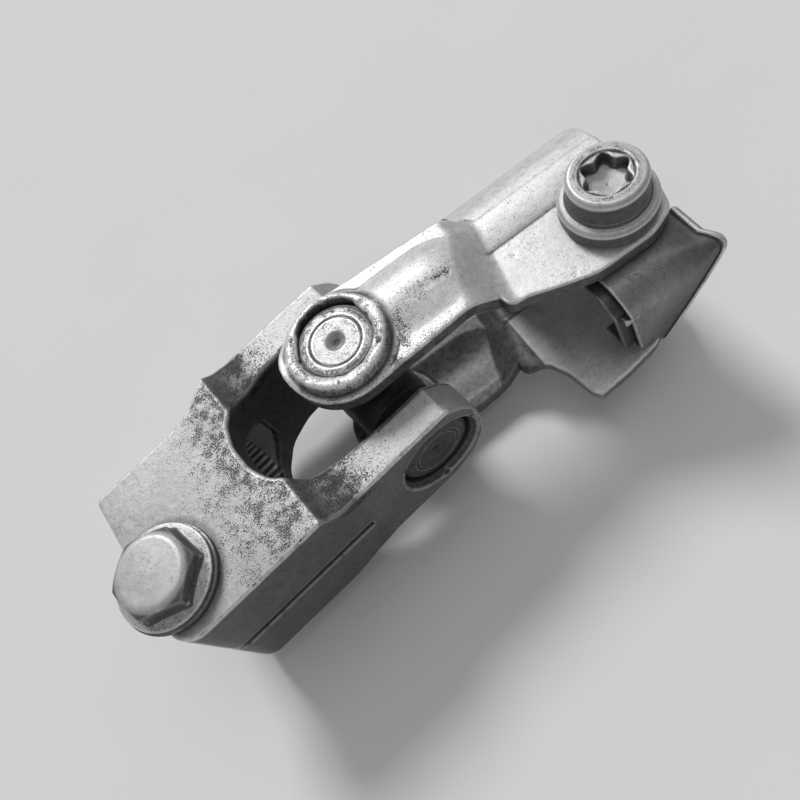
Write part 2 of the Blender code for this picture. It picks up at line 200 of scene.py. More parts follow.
def snap(points, field, cell, rounds):
    """Moves points onto the zero surface along the field's gradient."""
    step = 0.015
    for _ in range(rounds):
        x, y, z = points.T
        here = field(x, y, z)
        slope = np.stack([field(x + step, y, z) - here, field(x, y + step, z) - here,
                          field(x, y, z + step) - here]) / step
        size = np.maximum((slope * slope).sum(0), 0.1)
        move = -here * slope / size
        length = np.sqrt((move * move).sum(0)) + 1e-9
        points = points + (move * np.minimum(1.0, 0.7 * cell / length)).T
    return points


def edges_of(quads):
    """First and second vertex of every edge, each edge once."""
    pairs = np.concatenate([quads[:, [k, (k + 1) % 4]] for k in range(4)])
    pairs.sort(1)
    base = pairs.max() + 1
    keys = np.unique(pairs[:, 0] * base + pairs[:, 1])
    return keys // base, keys % base


def spread(values, edges):
    """Mean of each vertex's neighbours."""
    a, b = edges
    count = len(values)
    total = np.bincount(a, values[b], count) + np.bincount(b, values[a], count)
    return total / np.maximum(np.bincount(a, minlength=count) + np.bincount(b, minlength=count), 1)


def normals_of(points, quads):
    """Unit normal at each vertex, from the faces round it."""
    across = np.cross(points[quads[:, 2]] - points[quads[:, 0]],
                      points[quads[:, 3]] - points[quads[:, 1]])
    total = np.zeros_like(points)
    for k in range(4):
        for c in range(3):
            total[:, c] += np.bincount(quads[:, k], across[:, c], len(points))
    return total / (np.linalg.norm(total, axis=1, keepdims=True) + 1e-12)


def bend_of(points, normals, edges, rounds):
    """Curvature at each vertex, positive on outer edges, averaged in rounds over neighbours."""
    a, b = edges
    count = len(points)
    gap = points[a] - points[b]
    size = (gap * gap).sum(1) + 1e-9
    bend = (np.bincount(a, (normals[a] * gap).sum(1) / size, count)
            - np.bincount(b, (normals[b] * gap).sum(1) / size, count))
    bend /= np.maximum(np.bincount(a, minlength=count) + np.bincount(b, minlength=count), 1)
    for _ in range(rounds):
        bend = 0.5 * bend + 0.5 * spread(bend, edges)
    return bend


def quad_mesh(name, points, quads):
    """Smooth-shaded mesh of four-sided faces."""
    mesh = bpy.data.meshes.new(name)
    mesh.vertices.add(len(points))
    mesh.vertices.foreach_set("co", points.astype(np.float32).ravel())
    mesh.loops.add(quads.size)
    mesh.loops.foreach_set("vertex_index", quads.astype(np.int32).ravel())
    mesh.polygons.add(len(quads))
    mesh.polygons.foreach_set("loop_start", np.arange(0, quads.size, 4, dtype=np.int32))
    mesh.update(calc_edges=True)
    mesh.polygons.foreach_set("use_smooth", np.ones(len(quads), bool))
    return mesh


def dent(points, normals, places):
    """Pushes shallow round dents in: each place is x, y, z, radius, depth."""
    for x, y, z, radius, depth in places:
        far = ((points - (x, y, z)) ** 2).sum(1) / radius ** 2
        hit = far < 1
        points[hit] -= normals[hit] * (depth * (1 - far[hit]) ** 2)[:, None]
    return points


def solid(name, field, low, high, cell, place, body, mat, stands_for, grime=None,
          dents=(), relax=3):
    """Meshes a field, adds its attributes and puts it on its body; grime gives specks and painted
    shade.
    """
    points, quads = net(field, low, high, cell)
    points = snap(points, field, cell, 2)
    edges = edges_of(quads)
    for _ in range(relax):
        even = np.stack([spread(points[:, c], edges) for c in range(3)], 1)
        points = snap(points * 0.45 + even * 0.55, field, cell, 1)
    points = dent(points, normals_of(points, quads), dents)
    bend = bend_of(points, normals_of(points, quads), edges, max(1, round(0.5 / cell)))
    mesh = quad_mesh(name, points, quads)
    dirt, shade = grime(*points.T) if grime else (0.0, 0.0)
    for label, values in (("edge", bend), ("grime", dirt), ("shade", shade)):
        layer = mesh.attributes.new(label, "FLOAT", "POINT")
        values = np.broadcast_to(np.asarray(values, np.float32), len(points))
        layer.data.foreach_set("value", values.copy())
    mesh.transform(place)
    mesh.materials.append(mat)
    piece = bpy.data.objects.new(name, mesh)
    bpy.context.scene.collection.objects.link(piece)
    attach(piece, body)
    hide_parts(stands_for)


# materials -----------------------------------------------------------------

class Graph:
    """A node material with short calls for what the metals share."""

    def __init__(self, name):
        self.mat = bpy.data.materials.new(name)
        self.mat.use_nodes = True
        self.tree = self.mat.node_tree
        self.tree.nodes.clear()
        out = self.tree.nodes.new("ShaderNodeOutputMaterial")
        self.shader = self.add("ShaderNodeBsdfPrincipled")
        self.tree.links.new(self.shader.outputs[0], out.inputs[0])
        self.place = self.add("ShaderNodeTexCoord").outputs["Object"]

    def add(self, kind, settings=None, **inputs):
        """New node: settings are its own properties, inputs go to its sockets by name."""
        node = self.tree.nodes.new(kind)
        for key, value in (settings or {}).items():
            setattr(node, key, value)
        for key, value in inputs.items():
            self.put(node, key.replace("_", " "), value)
        return node

    def put(self, node, key, value):
        """Sets an input, or links it when the value comes from another node."""
        socket = node.inputs[int(key)] if key.isdigit() else node.inputs[key]
        if isinstance(value, bpy.types.NodeSocket):
            self.tree.links.new(value, socket)
        else:
            socket.default_value = value

    def maths(self, operation, a, b=0.0, c=0.0):
        node = self.add("ShaderNodeMath", {"operation": operation})
        for k, value in enumerate((a, b, c)):
            self.put(node, str(k), value)
        return node.outputs[0]

    def noise(self, per_mm, detail=3.0, rough=0.55, stretch=(1, 1, 1), shift=0.0):
        """Noise fixed to the piece, with the given number of features to a millimetre."""
        scale = [per_mm * 1000 * s for s in stretch]
        move = self.add("ShaderNodeMapping", Scale=scale, Vector=self.place,
                        Location=(shift, shift * 1.7, shift * 2.3))
        tex = self.add("ShaderNodeTexNoise", Scale=1.0, Detail=detail, Roughness=rough,
                       Vector=move.outputs[0])
        return tex.outputs["Fac"]

    def ramp(self, value, low, high, to_low=0.0, to_high=1.0):
        """Eased step between two values."""
        node = self.add("ShaderNodeMapRange", {"interpolation_type": "SMOOTHSTEP"})
        for k, v in enumerate((value, low, high, to_low, to_high)):
            self.put(node, str(k), v)
        return node.outputs[0]

    def attribute(self, name):
        return self.add("ShaderNodeAttribute", {"attribute_name": name}).outputs["Fac"]

    def mix(self, share, a, b):
        node = self.add("ShaderNodeMix", {"data_type": "RGBA"})
        for key, value in ((0, share), (6, a), (7, b)):
            self.put(node, str(key), value)
        return node.outputs[2]


def grey(value, tint=(1.0, 1.0, 1.0)):
    return (value * tint[0], value * tint[1], value * tint[2], 1.0)


def worn_metal(name, light, dark, metallic, rough, speckle=0.5, pits=1.0, grain=1.0, wear=1.0,
               stains=0.5, streaks=0.0, along=(1, 1, 1), seed=0.0):
    """Zinc-grey steel: mottled coat, dirt specks, stains, bright rubbed edges, painted shade."""
    g = Graph(name)
    edge = g.attribute("edge")
    zone = g.attribute("grime")
    broad = g.noise(0.11, 3.0, shift=seed)
    middle = g.noise(0.75, 5.0, 0.62, shift=seed + 3.1)
    fine = g.noise(4.6, 3.0, 0.6, shift=seed + 5.7)
    dust = g.noise(9.0, 2.0, 0.6, shift=seed + 8.3)

    tone = g.maths("ADD", g.maths("MULTIPLY", broad, 0.45), g.maths("MULTIPLY", middle, 0.55))
    colour = g.mix(g.ramp(tone, 0.34, 0.64), grey(light * 0.78), grey(light))
    colour = g.mix(g.ramp(dust, 0.35, 0.75, 0.0, 0.22), colour, grey(light * 0.62))
    if streaks:
        lines = g.noise(1.6, 4.0, 0.7, stretch=along, shift=seed + 2.2)
        colour = g.mix(g.ramp(lines, 0.5, 0.75, 0.0, streaks), colour, grey(light * 0.45))

    patch = g.ramp(g.noise(0.32, 4.0, 0.6, shift=seed + 11.0), 0.60, 0.74)
    patch = g.maths("MULTIPLY", patch, g.ramp(middle, 0.46, 0.62))
    colour = g.mix(g.maths("MULTIPLY", patch, stains), colour, grey(dark * 1.9))

    cluster = g.ramp(g.noise(0.5, 4.0, 0.65, shift=seed + 14.0), 0.34, 0.66, 0.25, 1.0)
    load = g.maths("MULTIPLY", g.maths("ADD", zone, 0.2), cluster)
    level = g.maths("MULTIPLY_ADD", load, 0.24, fine)
    specks = g.ramp(level, 0.645, 0.705, 0.0, speckle)
    colour = g.mix(specks, colour, grey(dark))
    # Painted shade: an even darkening of the colour wherever the "shade" attribute is set.
    shade = g.attribute("shade")
    painted_shade = g.maths("MULTIPLY", shade, g.ramp(middle, 0.25, 0.6, 0.97, 0.86))
    colour = g.mix(painted_shade, colour, grey(dark * 0.8))

    rub = g.maths("MULTIPLY", g.ramp(edge, 0.08, 0.34), g.ramp(middle, 0.30, 0.50, 0.25, 1.0))
    rub = g.maths("MULTIPLY", rub, g.maths("MULTIPLY_ADD", shade, -0.8 * wear, wear))
    colour = g.mix(rub, colour, grey(min(light * 1.45, 0.93)))
    # Painted shade in concave corners and creases, read from the negative curvature.
    corner = g.ramp(g.maths("MULTIPLY", edge, -1.0), 0.04, 0.30, 0.0, 0.78)
    colour = g.mix(corner, colour, grey(dark * 0.8))
    g.put(g.shader, "Base Color", colour)

    shine = g.maths("MULTIPLY_ADD", middle, 0.22, rough - 0.11)
    shine = g.maths("MULTIPLY_ADD", specks, 0.22, shine)
    shine = g.maths("MULTIPLY_ADD", rub, -0.14, shine)
    g.put(g.shader, "Roughness", g.maths("MULTIPLY_ADD", corner, 0.2, shine))
    g.put(g.shader, "Metallic", metallic)

    height = g.maths("MULTIPLY_ADD", specks, -0.55 * pits, g.maths("MULTIPLY", dust, 0.16 * grain))
    height = g.maths("MULTIPLY_ADD", middle, 0.55 * grain, height)
    height = g.maths("MULTIPLY_ADD", fine, 0.22 * grain, height)
    bump = g.add("ShaderNodeBump", Strength=0.55, Distance=0.00022, Height=height)
    g.put(g.shader, "Normal", bump.outputs[0])
    return g.mat


def plain(name, colour, rough, metallic, per_mm):
    """Rubber, nylon and ground steel that barely show: grain in colour, gloss and height."""
    g = Graph(name)
    grain = g.noise(per_mm, 4.0, 0.6)
    slow = g.noise(per_mm / 6, 3.0, shift=4.0)
    low = tuple(c * 0.7 for c in colour[:3]) + (1.0,)
    g.put(g.shader, "Base Color", g.mix(g.ramp(slow, 0.3, 0.7), low, colour))
    g.put(g.shader, "Roughness", g.ramp(grain, 0.2, 0.8, rough - 0.1, rough + 0.1))
    g.put(g.shader, "Metallic", metallic)
    bump = g.add("ShaderNodeBump", Strength=0.4, Distance=0.00008, Height=grain)
    g.put(g.shader, "Normal", bump.outputs[0])
    return g.mat


FORGED = worn_metal("forged_worn", 0.50, 0.05, 0.60, 0.53, speckle=0.85, pits=1.2, grain=1.1,
                    wear=0.9, stains=0.55, seed=1.0)
PRESSED = worn_metal("pressed_worn", 0.74, 0.05, 0.60, 0.51, speckle=0.85, pits=0.9, grain=0.7,
                     wear=0.45, stains=0.5, streaks=0.25, along=(0.12, 1, 1), seed=20.0)
BOLT = worn_metal("bolt_worn", 0.56, 0.06, 0.55, 0.54, speckle=0.75, pits=0.8, grain=0.8,
                  wear=0.6, stains=0.35, seed=40.0)
WASHER = worn_metal("washer_worn", 0.45, 0.05, 0.60, 0.50, speckle=0.8, wear=0.4, seed=50.0)
CUP_STEEL = worn_metal("cup_worn", 0.40, 0.04, 0.60, 0.42, speckle=0.8, pits=0.8, grain=0.8,
                       wear=1.0, stains=0.4, seed=60.0)
CLIP = worn_metal("clip_worn", 0.46, 0.05, 0.65, 0.42, speckle=0.6, pits=0.5, grain=0.6,
                  wear=1.0, stains=0.3, streaks=0.3, along=(1, 0.1, 0.1), seed=70.0)
NUT = worn_metal("nut_worn", 0.55, 0.05, 0.60, 0.48, speckle=0.8, wear=0.9, seed=80.0)
CROSS = worn_metal("cross_worn", 0.20, 0.03, 0.60, 0.50, speckle=0.7, wear=0.7, seed=90.0)
RUBBER = plain("seal_worn", (0.030, 0.030, 0.032, 1.0), 0.72, 0.0, 3.0)
NYLON = plain("pad_worn", (0.62, 0.60, 0.53, 1.0), 0.55, 0.0, 2.0)
ROLLER = plain("roller_ground", (0.62, 0.62, 0.63, 1.0), 0.24, 0.9, 2.5)


# clamp yoke ----------------------------------------------------------------

BLOCK_TOP, EAR_TOP, EAR_OUT = 14.0, 11.3, 19.6
PLAN = rounded([
    (-51.6, -19.5, 5.0), (13.0, -EAR_OUT, 0), (13.0, EAR_OUT, 0), (-19.0, EAR_OUT, 4),
    (-22.6, 18.7, 4), (-27.4, 15.3, 5), (-32.0, 14.1, 5), (-50.2, 14.1, 1.4)], 1.0)
SIDE = rounded([
    (-56.0, -14.2, 0), (-26.6, -14.2, 8), (-20.6, -12.6, 8), (-14.5, -EAR_TOP, 8),
    (0.5, -EAR_TOP, 5), (5.9, -9.2, 4), (9.2, -5.0, 4), (9.95, 0.0, 6), (9.2, 5.6, 4),
    (7.4, 8.6, 2.2), (4.4, EAR_TOP, 0.9), (-15.5, EAR_TOP, 1), (-15.5, BLOCK_TOP, 0),
    (-56.0, BLOCK_TOP, 0)], 1.0)
THROAT = rounded([
    (16.0, 12.75), (-4.0, 12.6, 8), (-13.0, 12.1, 8), (-19.6, 10.6, 6), (-24.0, 6.9, 5),
    (-25.5, 2.6, 5), (-25.5, -2.6, 5), (-24.0, -6.9, 5), (-19.6, -10.6, 6), (-13.0, -12.1, 8),
    (-4.0, -12.6, 8), (16.0, -12.75)], 1.0)
SLIT = rounded([(-60.0, -26.0), (-16.3, -26.0), (-17.2, -18.5), (-22.5, -4.0), (-60.0, -4.0)], 0.5)
SCOOP_X, SCOOP_Z, SCOOP = -17.0, 17.0, 5.9
BORE_Y, BORE_Z, BORE, SPLINES = 3.0, -1.0, 8.2, 36
KERF, EYE = 0.85, 7.8
PINCH_X, PINCH_Y, PINCH_HOLE = -46.4, -8.0, 4.3
# Angles of the stake marks round a bearing cup.
STAKES = [math.radians(a) for a in (20, 78, 142, 205, 262, 318)]


def clamp_yoke(x, y, z):
    """Forged block and ears with scoops, throat, splined bore, saw cut, eyes and pinch hole."""
    lump = uneven(x, y, z, 3.6, 0.05)
    d = cut_to(outline(x, y, PLAN), outline(x, z, SIDE) + lump, 0.55)
    d = carve(d, np.hypot(x - SCOOP_X, z - SCOOP_Z) - SCOOP, 0.55)
    d = carve(d, outline(x, y, THROAT), 0.7)
    turn = np.arctan2(z - BORE_Z, y - BORE_Y)
    spline = 0.28 * np.cos(SPLINES * turn) * smooth(-24.0, -26.0, x)
    chamfer = np.minimum(0.9 * np.clip(x + 51.4, 0, 9) - 1.2, 0)
    ream = np.hypot(y - BORE_Y, z - BORE_Z) - BORE + spline + chamfer
    d = carve(d, np.maximum(ream, x + 20.0), 0.25)
    saw = np.maximum(np.abs(z - BORE_Z) - KERF, outline(x, y, SLIT))
    d = carve(d, saw, 0.22)
    d = carve(d, np.hypot(x, z) - EYE - np.clip(np.abs(y) - 18.5, 0, 2) * 0.7, 0.3)
    for a in STAKES[::2]:
        nick = np.sqrt((x - 8.3 * math.cos(a)) ** 2 + (z - 8.3 * math.sin(a)) ** 2
                       + ((np.abs(y) - 19.9) * 0.9) ** 2) - 0.9
        d = carve(d, nick, 0.25)
    return carve(d, np.hypot(x - PINCH_X, y - PINCH_Y) - PINCH_HOLE, 0.3)


def clamp_grime(x, y, z):
    """Specks round the throat and in the scoops; painted shade on the near side, inside and the
    eyes.
    """
    on_top = z > BLOCK_TOP - 0.4
    throat = 0.85 * smooth(-40.0 + 0.25 * y, -24.5, x) * on_top * (x < -21)
    scoop = 1.1 * np.exp(-((x + 16.0) / 4.6) ** 2) * (z > 9) * (x > -23)
    # Painted shade at the scoops' feet, in the throat, on the near sides and in the eyes.
    scoop_foot = 0.85 * smooth(-12.5, -17.5, x) * (x > -22.6) * (z > 9) * (z < 13.8)
    inside = 0.95 * (outline(x, y, THROAT) < 0.9) * (z < 13.2) * (x < 9)
    block_side = 0.86 * smooth(13.5, 12.9, z) * (y < -18.6) * (x < -16)
    ear_side = 0.78 * (y < -18.9) * (z < 10.6)
    eyes = np.hypot(x, z) < EYE + 0.5
    # A ring round the pinch bolt's seat, partly dirt and partly the washer's painted shadow.
    seat = 0.6 * smooth(10.9, 9.3, np.hypot(x - PINCH_X, y - PINCH_Y)) * on_top
    return (np.maximum(throat, scoop),
            np.maximum.reduce([scoop_foot, inside, block_side, ear_side, eyes, seat]))


# Nicks along the near edges of the block and the ear, then dents over the top face.
rng = np.random.RandomState(7)
nicks = []
for _ in range(11):
    nicks.append((rng.uniform(-48, -24), -19.4, 13.9, rng.uniform(0.4, 0.9),
                  rng.uniform(0.08, 0.2)))
for _ in range(8):
    nicks.append((rng.uniform(-14, 6), -19.5, 11.2, rng.uniform(0.4, 0.8),
                  rng.uniform(0.06, 0.16)))
for _ in range(40):
    nicks.append((rng.uniform(-48, -25), rng.uniform(-17, 13), 14.0, rng.uniform(0.4, 1.3),
                  rng.uniform(0.02, 0.06)))
solid("clamp_yoke_skin", clamp_yoke, (-54, -21.5, -16), (12, 21.5, 16), 0.36, CLAMP_FRAME,
      CLAMP_BODY, FORGED, "clamp_yoke", clamp_grime, nicks)


# pinch bolt ----------------------------------------------------------------

SHANK, PITCH, HEX = 4.0, 1.25, 13.0
SEAT = BLOCK_TOP + 0.3
WASHER_RING = rounded([(4.35, SEAT), (9.1, SEAT), (9.1, SEAT + 0.7), (4.35, SEAT + 0.7)], 0.15)
FLANGE = SEAT + 1.0
PINCH = rounded([
    (-1, -13.4), (3.4, -13.4), (SHANK, -12.8), (SHANK, FLANGE), (8.1, FLANGE, 0),
    (8.8, FLANGE + 0.35), (8.7, FLANGE + 0.75), (7.9, FLANGE + 0.95), (6.6, FLANGE + 1.45),
    (-1, FLANGE + 1.5)], 0.2)


def washer(x, y, z):
    """Slightly warped flat ring under the pinch bolt's head."""
    r = np.hypot(x - PINCH_X, y - PINCH_Y)
    return outline(r, z - 0.06 * np.sin((x + y) / 5), WASHER_RING)


def hexagon(u, v, across, turn):
    """Six-sided prism's plan with the given size across flats."""
    d = np.float32(-1e9)
    for k in range(6):
        a = turn + k * math.pi / 3
        d = cut_to(d, u * math.cos(a) + v * math.sin(a) - across / 2, 0.25)
    return d


def thread(r, z, angle, radius, pitch):
    """Helical ridges on a shank."""
    wave = np.abs(((z / pitch - angle / (2 * math.pi)) % 1.0) - 0.5) * 2
    return r - radius + 0.45 * wave


def pinch_bolt(x, y, z):
    """Flanged hexagon head on a plain shank; the head's corners are chamfered."""
    u, v = x - PINCH_X, y - PINCH_Y
    r = np.hypot(u, v)
    body = outline(r, z, PINCH)
    top = FLANGE + 5.0 - 0.035 * r
    flats = hexagon(u, v, HEX, math.radians(10))
    head = cut_to(flats, z - top, 0.3)
    head = cut_to(head, (r - 6.35 + (z - top + 0.5) * 1.5) * 0.55, 0.2)
    head = np.maximum(head, FLANGE + 0.5 - z)
    return join(body, head, 0.35)


def bolt_grime(x, y, z):
    """Specks on the flange; painted shade on the flats and the flange's rim."""
    r, h = np.hypot(x - PINCH_X, y - PINCH_Y), z - FLANGE
    flats = smooth(1.5, 2.0, h) * smooth(4.5, 4.0, h)
    rim = smooth(8.4, 8.7, r) * smooth(0.75, 0.5, h)
    return 0.35 * (h < 1.6), 0.95 * np.maximum(flats, rim)


def washer_grime(x, y, z):
    """Even specks, and painted shade on the rim."""
    r = np.hypot(x - PINCH_X, y - PINCH_Y)
    return 0.4, 0.85 * smooth(8.75, 9.0, r)


solid("pinch_washer_skin", washer, (-56.6, -18.2, 13.6), (-36.2, 2.2, 15.6), 0.16, CLAMP_FRAME,
      CLAMP_BODY, WASHER, "pinch_bolt_washer", washer_grime)
solid("pinch_bolt_skin", pinch_bolt, (-56.2, -17.8, -14), (-36.6, 1.8, 21), 0.19, CLAMP_FRAME,
      CLAMP_BODY, BOLT, "pinch_bolt", bolt_grime)


# bearings ------------------------------------------------------------------

CUP, CUP_LENGTH, CUP_FLOOR, CUP_WALL = 7.5, 6.8, 1.2, 6.45
EAR_CUP_END, ARM_CUP_END = 18.4, 19.6


def bearing_field(ring, sign, axis):
    """Field of a profile in radius and height, turned about the bearing's axis."""
    def field(x, y, z):
        u, v, h = (x, y, z) if axis == "z" else (x, z, y)
        return outline(np.hypot(u, v), sign * h, ring)
    return field


def cup_profile(end):
    """Open-mouthed cup with a rolled shoulder, one groove and a centre dimple."""
    mouth, floor = end - CUP_LENGTH, end - CUP_FLOOR
    return rounded([
        (CUP_WALL, mouth), (CUP, mouth), (CUP, end - 1.2, 0.5), (6.9, end - 0.4, 0.4),
        (6.2, end - 0.1, 0.8), (4.85, end, 0.1), (4.65, end - 0.3, 0.1), (4.4, end - 0.02, 0.15),
        (1.9, end - 0.05, 0.9), (0.3, end - 0.75, 0.5), (-1, end - 0.75), (-1, floor),
        (CUP_WALL, floor)], 0.12)


def seal_profile(end):
    mouth = end - CUP_LENGTH
    return rounded([
        (4.4, mouth - 1.6), (6.9, mouth - 1.6), (7.4, mouth - 0.9), (7.35, mouth - 0.3),
        (5.8, mouth - 0.3), (5.5, mouth - 0.6), (4.4, mouth - 0.3)], 0.25)


def rim_grime(x, y, z):
    """Specks in the cup's groove; painted shade on its rim and in the dimple."""
    r = np.hypot(x, y)
    pit = 0.45 * smooth(1.7, 0.6, np.hypot(x, y - 0.7))
    return 1.1 * np.exp(-((r - 6.2) / 0.8) ** 2) + 0.25, np.maximum(smooth(6.6, 7.1, r), pit)


def deep_grime(x, y, z):
    """Some specks, and an even painted shade on what sits deep in the joint."""
    return 0.4, 1.0


# The last entry, dirt, gives each cup its specks and its painted shade.
for tag, sign, end, axis, place, body, dirt in (
        ("ear_near", -1, EAR_CUP_END, "y", CLAMP_FRAME, CLAMP_BODY, deep_grime),
        ("ear_far", 1, EAR_CUP_END, "y", CLAMP_FRAME, CLAMP_BODY, deep_grime),
        ("arm_top", 1, ARM_CUP_END, "z", PRESSED_FRAME, PRESSED_BODY, rim_grime),
        ("arm_bottom", -1, ARM_CUP_END, "z", PRESSED_FRAME, PRESSED_BODY, rim_grime)):
    reach = sorted((sign * (end - CUP_LENGTH - 2.0), sign * (end + 0.6)))
    low, high = (-8.0, -8.0, reach[0]), (8.0, 8.0, reach[1])
    if axis == "y":
        low, high = (-8.0, reach[0], -8.0), (8.0, reach[1], 8.0)
    solid("bearing_cup_skin_" + tag, bearing_field(cup_profile(end), sign, axis), low, high,
          0.2, place, body, CUP_STEEL, "bearing_cup_" + tag, dirt, relax=2)
    solid("bearing_seal_skin_" + tag, bearing_field(seal_profile(end), sign, axis), low, high,
          0.24, place, body, RUBBER, "bearing_seal_" + tag, relax=1)
    # The needles and the pad are out of sight, so only their material changes.
    for node, mat in (("needle_rollers_", ROLLER), ("thrust_pad_", NYLON)):
        frame["nodes"][node + tag].data.materials[0] = mat


# cross ---------------------------------------------------------------------

def spindle(r, h, tip, shoulder):
    """A pair of opposite trunnions with their shoulders."""
    points = rounded([
        (-1, tip), (3.5, tip, 0.2), (4.05, tip - 0.6), (4.05, shoulder), (6.0, shoulder),
        (6.9, shoulder - 1.2), (6.9, -1), (-1, -1)], 0.3)
    return outline(r, np.abs(h), points)


def cross_field(x, y, z):
    """Two spindles at right angles on a ball with flattened sides."""
    ears = spindle(np.hypot(x, z), y, 15.8, 9.7)
    arms = spindle(np.hypot(x, y), z, 17.0, 10.9)
    core = np.sqrt(x * x + y * y + z * z) - 9.6
    core = cut_to(core, np.abs(x) - 6.2, 1.0)
    return join(join(ears, arms, 1.6), core, 1.2)


solid("cross_skin", cross_field, (-7.6, -16.4, -17.6), (7.6, 16.4, 17.6), 0.3, CROSS_FRAME,
      CROSS_BODY, CROSS, "cross", deep_grime, relax=2)


# pressed yoke --------------------------------------------------------------

PLATE = 3.0
ARM_TOP, LEVEL, ARM_END = 18.0, 13.0, 10.6
RIB_X, RIB_Y, RIB = 18.0, 1.0, 2.0
BARREL_Y, BARREL, BARREL_START, BARREL_END = 5.0, 13.85, 27.2, 57.4
ARM_EYE, OPEN_SIDE = 8.6, 0.4
CLAMP_X, CLAMP_Y, CLAMP_HOLE = 50.0, -6.4, 4.35


def arm_outline(edge):
    """Half-round arm end, then the given corners back to it."""
    turns = np.radians(np.arange(90, 271, 9))
    return [(ARM_END * math.cos(a), ARM_END * math.sin(a)) for a in turns] + rounded(edge, 2.5)


UPPER = arm_outline([
    (26.0, -10.6, 9), (30.0, -11.0, 6), (35.0, -13.0, 20), (41.2, -15.2, 9), (52.2, -15.3, 6),
    (57.2, -13.2, 3), (58.9, -8.0, 4), (58.3, -1.0, 2), (57.4, 0.8, 0.3), (57.4, 7.0, 0.2),
    (31.5, 7.0, 1), (29.5, 10.6, 3)])
LOWER = arm_outline([
    (25.0, -10.6, 6), (29.4, -12.2, 3), (31.4, -16.6, 4), (32.4, -22.6, 0.8), (33.4, -24.2, 0.7),
    (40.0, -23.6, 4), (47.0, -22.4, 5), (56.2, -17.2, 4), (58.9, -9.0, 4), (58.3, -1.0, 2),
    (57.4, 0.8, 0.3), (57.4, 7.0, 0.2), (31.5, 7.0, 1), (29.5, 10.6, 3)])
COLLAR = rounded([
    (7.2, 15.0), (10.3, 15.0), (10.3, 18.1, 0.2), (9.55, 18.5, 0.8), (9.1, 19.6, 0.8),
    (8.8, 20.2, 0.5), (7.9, 20.3, 0.6), (6.7, 19.9, 0.3), (6.7, 19.5, 0.1), (7.2, 19.3)], 0.3)
OPEN_LIP = math.radians(80)


def joggle(x, y):
    """Top of the plate without the rib, and how far it has dropped from arm to flange."""
    across = np.clip(y, -9.0, 5.0)
    start, foot = 23.6 + 0.40 * across, 30.7 + 0.2 * across
    fall = smooth(0.0, 1.0, (x - start) / (foot - start))
    roll = np.sqrt(np.maximum(BARREL ** 2 - (y - BARREL_Y) ** 2, 60.0))
    low = np.where(y < 0.2, LEVEL, roll)
    return ARM_TOP - (ARM_TOP - low) * fall, fall


def arm_height(x, y):
    """Top of the plate: arm, embossed rib, joggle, then the flat flange or the rolled wall."""
    level, fall = joggle(x, y)
    side = np.where(y > RIB_Y, (y - RIB_Y) / 6.3, (y - RIB_Y) / 8.0)
    q = np.clip(1.0 - np.clip((x - RIB_X) / 9.4, 0, 2) ** 2 - side ** 2, 0.0, 1.0)
    return level + RIB * q ** (1.6 - 0.3 * smooth(-2.0, 4.0, y)) * (1 - fall)


def arm_plate(x, y, z, plan):
    """One arm and flange: the plate under arm_height, even in thickness, cut to its outline."""
    h, (level, _) = arm_height(x, y), joggle(x, y)
    e = 0.25
    sx = (arm_height(x + e, y) - h) / e
    sy = np.clip((arm_height(x, y + e) - h) / e, -1.5, 1.5)
    steep = np.sqrt(1 + sx * sx + sy * sy)
    lean = np.sqrt(1 + ((joggle(x + e, y)[0] - level) / e) ** 2)
    top, under = (z - h) / steep, (h - PLATE * lean - z) / steep
    return cut_to(cut_to(top, under, 0.3), outline(x, y, plan), 0.3)


def collar_field(x, y, z):
    """Raised eye; its lip is staked in over the cup except on one ragged stretch."""
    r = np.hypot(x, y)
    turn = np.arctan2(y, x)
    lip = 0.10 * np.sin(3 * turn + 1.0) + 0.05 * np.sin(7 * turn + 2.0 * np.sin(2 * turn))
    d = outline(r + 0.4 * lip, z + lip, COLLAR)
    ragged = 0.16 * np.sin(9 * turn + 1.5 * np.sin(4 * turn)) + 0.08 * np.sin(23 * turn)
    opened = 6.75 + 1.05 * smooth(0.35, 0.95, np.cos(turn - OPEN_LIP)) + ragged
    d = carve(d, r - opened, 0.25)
    for k, a in enumerate(STAKES):
        size = 0.55 + 0.12 * math.sin(4.1 * k)
        hollow = np.sqrt((x - 7.9 * math.cos(a)) ** 2 + (y - 7.9 * math.sin(a)) ** 2
                         + ((z - 20.7) * 0.9) ** 2) - size
        d = carve(d, hollow, 0.35)
    return d


def pressed_yoke(x, y, z):
    """Two arms with collars and flanges, joined by the half-round barrel."""
    barrel = np.hypot(y - BARREL_Y, z) - BARREL
    wall = cut_to(barrel, -PLATE - barrel, 0.35)
    wall = cut_to(wall, np.maximum(x - BARREL_END, OPEN_SIDE - y), 0.45)
    wall = cut_to(wall, BARREL_START + 0.10 * np.abs(z) - x, 0.8)
    r = np.hypot(x, y)
    upper = cut_to(arm_plate(x, y, z, UPPER), ARM_EYE - r, 0.2)
    lower = cut_to(arm_plate(x, y, -z, LOWER), ARM_EYE - r, 0.2)
    upper = join(upper, collar_field(x, y, z), 0.5)
    lower = join(lower, collar_field(x, y, -z), 0.5)
    d = join(join(upper, wall, 0.5), lower, 0.5)
    d = carve(d, np.maximum(r - CUP - 0.15, np.abs(np.abs(z) - ARM_TOP) - 0.9), 0.15)
    d = carve(d, np.maximum(r - CUP - 0.06, np.abs(z) - 19.0), 0.1)
    return carve(d, np.hypot(x - CLAMP_X, y - CLAMP_Y) - CLAMP_HOLE, 0.25)


